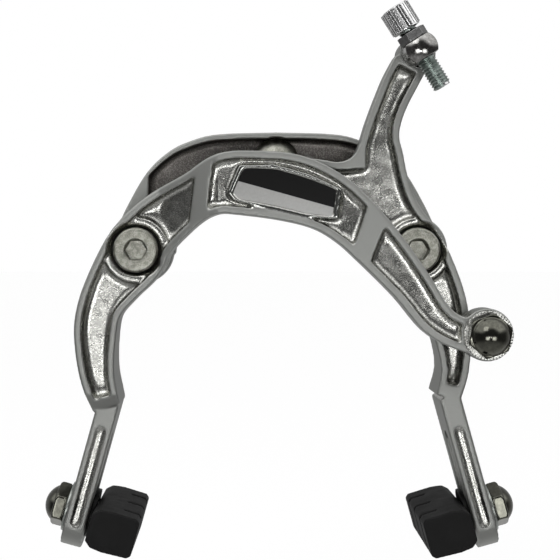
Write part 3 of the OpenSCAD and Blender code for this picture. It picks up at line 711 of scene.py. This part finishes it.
class BRAKE_OT_fasteners(bpy.types.Operator):
    """Makes the bolts, nuts and washers"""

    bl_idname = "brake.fasteners"
    bl_label = "Make fasteners"

    def execute(self, context):
        settings = looks().bolts
        zinc = plated_steel("zinc_plated_steel", settings.zinc, "#7C807C", 0.3 * MM, 0.34, 0.02 * MM)
        matt = plated_steel("tumbled_zinc_steel", settings.bolt, "#74746C", 0.3 * MM, 0.34, 0.1 * MM)
        bright = plated_steel("bright_zinc_steel", "#CDCDC9", "#8E8E8A", 0.3 * MM, 0.28, 0.03 * MM)
        chrome = plated_steel("plated_nut_steel", settings.chrome, "#4C4C46", 0.6 * MM, 0.13, 0.004 * MM)
        black = plated_steel("blackened_steel", settings.black, "#151515", 0.3 * MM, 0.4, 0.02 * MM)
        for side in ("left", "right"):
            arm, clamp, shoe = side + "_arm", side + "_clamp", side + "_shoe"
            for node, body, slot, material in (
                    (side + "_pivot_bolt", "frame", "bolt_steel", matt),
                    (side + "_dome_nut", clamp, "chrome", chrome),
                    (side + "_outer_washer", clamp, "zinc_steel", zinc),
                    (side + "_inner_washer", clamp, "zinc_steel", black)):
                dress(turned_copy(node, settings.voxel), material, body, slot, node)
            paint(frame["nodes"][side + "_shoe_stud"].data, zinc)
        for node, slot, material in (("anchor_dome_nut", "chrome", chrome),
                                     ("clamp_washer", "zinc_steel", bright)):
            dress(turned_copy(node, settings.voxel), material, "left_arm", slot, node)
        self.mount(settings, matt)
        self.serrate(settings, bright)
        dress(turned_copy("crown_spacer", 0.25 * MM), zinc, "frame", "cast_alloy", "crown_spacer")
        dress(turned_copy("toothed_washer", 0.2 * MM), zinc, "frame", "zinc_steel", "toothed_washer")
        for node in ("anchor_bolt", "sync_pin"):
            paint(frame["nodes"][node].data, zinc)
        return {"FINISHED"}

    def mount(self, settings, steel):
        """The centre bolt, with the thread by which the brake is mounted"""
        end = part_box("centre_bolt")[1].y
        first, last, radius = 12 * MM, end - 1 * MM, 3 * MM
        bolt = turned_copy("centre_bolt", 0.27 * MM)
        root = radius - settings.thread_depth
        cut_back(bolt.data, (0, 0, 0), (0, 1, 0), [(first, last, root)])
        dress(bolt, steel, "frame", "zinc_steel", "centre_bolt")
        thread = grown("mounting_thread", thread_tree(), standing((0, first, 0), (0, 1, 0)), {
            "Pitch": settings.pitch, "Length": last - first, "Root radius": root,
            "Depth": settings.thread_depth, "Material": steel})
        dress(thread, None, "frame", "zinc_steel")

    def serrate(self, settings, steel):
        """The serrations on the face of the clamp washer"""
        centre = middle("clamp_washer")
        low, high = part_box("clamp_washer")
        size = Vector((1.0, 0.36, 0.36)) * MM
        ring = grown("clamp_serrations", knurl_tree(), standing((centre.x, low.y, centre.z), FRONT), {
            "Ribs": settings.serrations, "Radius": (high.x - low.x - size.x) / 2, "Rib size": size,
            "Material": steel})
        dress(ring, None, "left_arm", "zinc_steel")


class BRAKE_OT_works(bpy.types.Operator):
    """Finishes the springs, bushes, thrust washers and roller that the castings cover"""

    bl_idname = "brake.works"
    bl_label = "Finish inner pieces"

    def execute(self, context):
        wire = plated_steel("spring_wire", "#7C7A76", "#4A4846", 0.3 * MM, 0.3, 0.01 * MM)
        bronze = plated_steel("sintered_bronze", "#B98F58", "#8A6638", 0.3 * MM, 0.4, 0.03 * MM)
        nylon = plain_polymer("moulded_nylon", "#DAD8CE", "#C9C6BA", 0.45)
        finishes = {"sync_roller": nylon}
        for side in ("left", "right"):
            finishes[side + "_return_spring"] = wire
            finishes[side + "_pivot_bush"] = bronze
            finishes[side + "_thrust_washer"] = bronze
        for node, material in finishes.items():
            paint(frame["nodes"][node].data, material)
        return {"FINISHED"}


class BRAKE_OT_cable_stop(bpy.types.Operator):
    """Makes the cable stop with its locknut, thread and knurled barrel"""

    bl_idname = "brake.cable_stop"
    bl_label = "Make cable stop"

    def execute(self, context):
        settings = looks().stop
        dark = plated_steel("dark_chromed_steel", "#9A9997", "#6E6D6B", 0.5 * MM, 0.13, 0.012 * MM)
        grey = plated_steel("grey_phosphated_steel", "#7F7F7F", "#6A6A6A", 0.3 * MM, 0.45, 0.02 * MM)
        zinc = plated_steel("blue_zinc_thread", "#BEC6C2", "#868E8A", 0.3 * MM, 0.3, 0.02 * MM)
        dress(turned_copy("cable_stop", 0.15 * MM), dark, "cable_stop", "chrome", "cable_stop")
        dress(turned_copy("locknut", 0.2 * MM), grey, "cable_stop", "zinc_steel", "locknut")
        paint(frame["nodes"]["stop_clip"].data, grey)
        bright = plated_steel("chromed_steel", "#DCDCDC", "#B4B4B4", 0.4 * MM, 0.12, 0.004 * MM)
        self.barrel(settings, zinc, bright)
        return {"FINISHED"}

    def barrel(self, settings, zinc, chrome):
        """The barrel adjuster, with its thread and the ribs round its knob"""
        along = Vector(joint("adjuster_travel")["axis"]).normalized()
        centre = middle("barrel_adjuster")
        core = turned_copy("barrel_adjuster", 0.15 * MM)
        heights = (read(core.data, "co") - np.array(centre)) @ np.array(along)
        foot, top = heights.min(), heights.max()
        outer, knob_outer, knob_height = 2.45 * MM, 3.9 * MM, 6.4 * MM
        size = Vector((0.6, 0.46, 5.8)) * MM
        root = outer - settings.thread_depth
        knob = top - knob_height
        cut_back(core.data, centre, along, [(foot - 0.3 * MM, knob - 0.2 * MM, root),
                                            (knob - 0.1 * MM, top + MM, knob_outer - size.x / 2)])
        dress(core, chrome, "adjuster", "zinc_steel", "barrel_adjuster")
        length = knob - foot - 0.5 * MM
        start = centre + along * (foot + 0.3 * MM)
        thread = grown("adjuster_thread", thread_tree(), standing(start, along), {
            "Pitch": settings.pitch, "Length": length, "Root radius": root,
            "Depth": settings.thread_depth, "Material": zinc})
        dress(thread, None, "adjuster", "zinc_steel")
        rim = centre + along * (top - knob_height / 2)
        ribs = grown("knob_ribs", knurl_tree(), standing(rim, along), {
            "Ribs": settings.ribs, "Radius": knob_outer - size.x / 2, "Rib size": size, "Material": chrome})
        dress(ribs, None, "adjuster", "zinc_steel")


class BRAKE_OT_blocks(bpy.types.Operator):
    """Makes the grooved rubber blocks"""

    bl_idname = "brake.blocks"
    bl_label = "Make brake blocks"

    def execute(self, context):
        rubber = moulded_rubber(looks().blocks)
        for side in ("left", "right"):
            node = side + "_pad"
            block = turned_copy(node, 0.36 * MM)
            self.nib(block.data, looks().blocks.nib)
            dress(block, rubber, side + "_shoe", "pad_rubber", node)
        return {"FINISHED"}

    def nib(self, mesh, height):
        """The nib under a block, where the rubber entered the mould"""
        points = read(mesh, "co")
        low, high = points.min(0), points.max(0)
        surface = BVHTree.FromPolygons([v.co for v in mesh.vertices], [p.vertices for p in mesh.polygons])
        from_front, drop = 4 * MM, 5 * MM
        below = Vector(((low[0] + high[0]) / 2, low[1] + from_front, low[2] - drop))
        foot = surface.ray_cast(below, Vector((0, 0, 1)))[0]
        place = Matrix.Translation(foot) @ Matrix.Rotation(math.pi, 4, "X")
        work = bmesh.new()
        work.from_mesh(mesh)
        bmesh.ops.create_cone(work, cap_ends=True, segments=14, radius1=0.6 * height, radius2=0.25 * height,
                              depth=2 * height, matrix=place)
        work.to_mesh(mesh)
        work.free()


class BRAKE_OT_studio(bpy.types.Operator):
    """Sets the floor, the light and the camera"""

    bl_idname = "brake.studio"
    bl_label = "Set studio"

    def execute(self, context):
        settings = looks().studio
        scene = context.scene
        scene.view_settings.view_transform = "Standard"
        make_world(scene)
        make_floor(settings)
        make_lamps(settings)
        make_camera(scene)
        return {"FINISHED"}


def make_world(scene):
    """A white backdrop, and what the metal mirrors.

    That is a bright ceiling from side to side, a dim room in front with a bright patch low on either side
    of the camera, a grey room behind and a grey ground below.
    """
    ceiling_level = 1.7
    patch_level = 6.2
    behind_level = 0.38
    below_level = 0.45
    least_level = 0.1
    world = bpy.data.worlds.new("studio")
    scene.world = world
    world.use_nodes = True
    tree = world.node_tree
    tree.nodes.clear()
    direction = add(tree, "ShaderNodeTexCoord").outputs["Generated"]
    x, y, z = add(tree, "ShaderNodeSeparateXYZ", {0: direction}).outputs
    aside = add(tree, "ShaderNodeMath", {0: x}, operation="ABSOLUTE").outputs[0]
    ceiling = joined(tree, "MULTIPLY", step(tree, z, 0.14, 0.5), step(tree, y, -0.85, -0.6),
                     step(tree, y, 0.35, -0.05), ceiling_level)
    patches = joined(tree, "MULTIPLY", step(tree, y, -0.75, -0.9), step(tree, z, -0.02, -0.12),
                     step(tree, z, -0.4, -0.24), step(tree, aside, 0.5, 0.34),
                     step(tree, aside, 0.1, 0.2), patch_level)
    behind = joined(tree, "MULTIPLY", step(tree, y, -0.2, 0.4), behind_level)
    below = joined(tree, "MULTIPLY", step(tree, z, -0.3, -0.7), below_level)
    room = joined(tree, "ADD", ceiling, patches, behind, below, least_level)
    shown = add(tree, "ShaderNodeLightPath").outputs["Is Camera Ray"]
    background = add(tree, "ShaderNodeBackground", {
        "Color": (1, 1, 1, 1), "Strength": mix_number(tree, shown, room, 1.0)})
    add(tree, "ShaderNodeOutputWorld", {"Surface": background.outputs[0]})


def make_floor(settings):
    """A wide pale floor below the brake, which shows white and keeps the brake's shadow."""
    half = 6.0
    glow_share = 0.72
    height = cad_box[0][2] - settings.floor_drop
    mesh = bpy.data.meshes.new("floor")
    mesh.from_pydata([(x * half, y * half, height) for x, y in ((-1, -1), (1, -1), (1, 1), (-1, 1))], [],
                     [(0, 1, 2, 3)])
    floor = link("floor", mesh)
    material, tree = new_material("pale_paint")
    matt = add(tree, "ShaderNodeBsdfDiffuse", {"Color": linear(settings.floor_colour)})
    glow = add(tree, "ShaderNodeEmission", {"Color": (1, 1, 1, 1), "Strength": 1.0})
    path = add(tree, "ShaderNodeLightPath").outputs
    seen = joined(tree, "MULTIPLY", path["Is Camera Ray"], glow_share)
    mixed = add(tree, "ShaderNodeMixShader", {0: seen, 1: matt.outputs[0], 2: glow.outputs[0]})
    clear = add(tree, "ShaderNodeBsdfTransparent")
    close_material(tree, add(tree, "ShaderNodeMixShader", {
        0: path["Is Glossy Ray"], 1: mixed.outputs[0], 2: clear.outputs[0]}))
    mesh.materials.append(material)


def make_lamps(settings):
    """Two small soft lamps beside the camera and one large one above."""
    target = Vector((0, -0.02, -0.03))
    for name, place, size, share in (("key", (-0.25, -0.55, 0.45), 0.3, 1.0),
                                     ("left_spot", (-0.03, -0.6, -0.1), 0.05, 0.12),
                                     ("right_spot", (0.05, -0.6, -0.1), 0.05, 0.12)):
        lamp = bpy.data.lights.new(name, "AREA")
        lamp.size = size
        lamp.energy = settings.lamp_power * share
        thing = bpy.data.objects.new(name, lamp)
        thing.location = place
        thing.rotation_euler = (target - thing.location).to_track_quat("-Z", "Y").to_euler()
        bpy.context.scene.collection.objects.link(thing)


def make_camera(scene):
    """The camera at the photograph's angle. Its shift brings the brake to the photograph's place."""
    photo_width = 560
    focal_pixels = 1230
    centre_column = 240
    centre_row = 248
    camera = bpy.data.cameras.new("camera")
    camera.sensor_width = 36
    camera.lens = camera.sensor_width * focal_pixels / photo_width
    camera.shift_x = (photo_width / 2 - centre_column) / photo_width
    camera.shift_y = (centre_row - photo_width / 2) / photo_width
    camera.clip_start = 0.01
    thing = bpy.data.objects.new("camera", camera)
    thing.location = (-9.5 * MM, -335 * MM, -23 * MM)
    thing.rotation_euler = (math.radians(90), 0, 0)
    scene.collection.objects.link(thing)
    scene.camera = thing


class BRAKE_PT_panel(bpy.types.Panel):
    """Lists the steps that build the dressed brake"""

    bl_label = "Caliper brake"
    bl_idname = "BRAKE_PT_panel"
    bl_space_type = "VIEW_3D"
    bl_region_type = "UI"
    bl_category = "Brake"

    def draw(self, context):
        for operator in OPERATORS:
            self.layout.operator(operator.bl_idname)


class BrakeLooks(bpy.types.PropertyGroup):
    """All settings of the brake's looks."""

    castings: bpy.props.PointerProperty(type=CastingSettings)
    bolts: bpy.props.PointerProperty(type=BoltSettings)
    stop: bpy.props.PointerProperty(type=StopSettings)
    blocks: bpy.props.PointerProperty(type=BlockSettings)
    badge: bpy.props.PointerProperty(type=BadgeSettings)
    studio: bpy.props.PointerProperty(type=StudioSettings)


OPERATORS = (BRAKE_OT_studio, BRAKE_OT_castings, BRAKE_OT_badge, BRAKE_OT_fasteners, BRAKE_OT_works,
             BRAKE_OT_cable_stop, BRAKE_OT_blocks)
CLASSES = (CastingSettings, BoltSettings, StopSettings, BlockSettings, BadgeSettings, StudioSettings,
           BrakeLooks, *OPERATORS, BRAKE_PT_panel)


def register():
    """Registers the settings, the operators and the panel."""
    for kind in CLASSES:
        bpy.utils.register_class(kind)
    bpy.types.Scene.brake_looks = bpy.props.PointerProperty(type=BrakeLooks)


def unregister():
    """Takes them out again."""
    del bpy.types.Scene.brake_looks
    for kind in reversed(CLASSES):
        bpy.utils.unregister_class(kind)


def main():
    """Registers the add-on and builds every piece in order."""
    register()
    bpy.ops.brake.studio()
    bpy.ops.brake.castings()
    bpy.ops.brake.badge()
    bpy.ops.brake.fasteners()
    bpy.ops.brake.works()
    bpy.ops.brake.cable_stop()
    bpy.ops.brake.blocks()


if __name__ == "__main__":
    main()
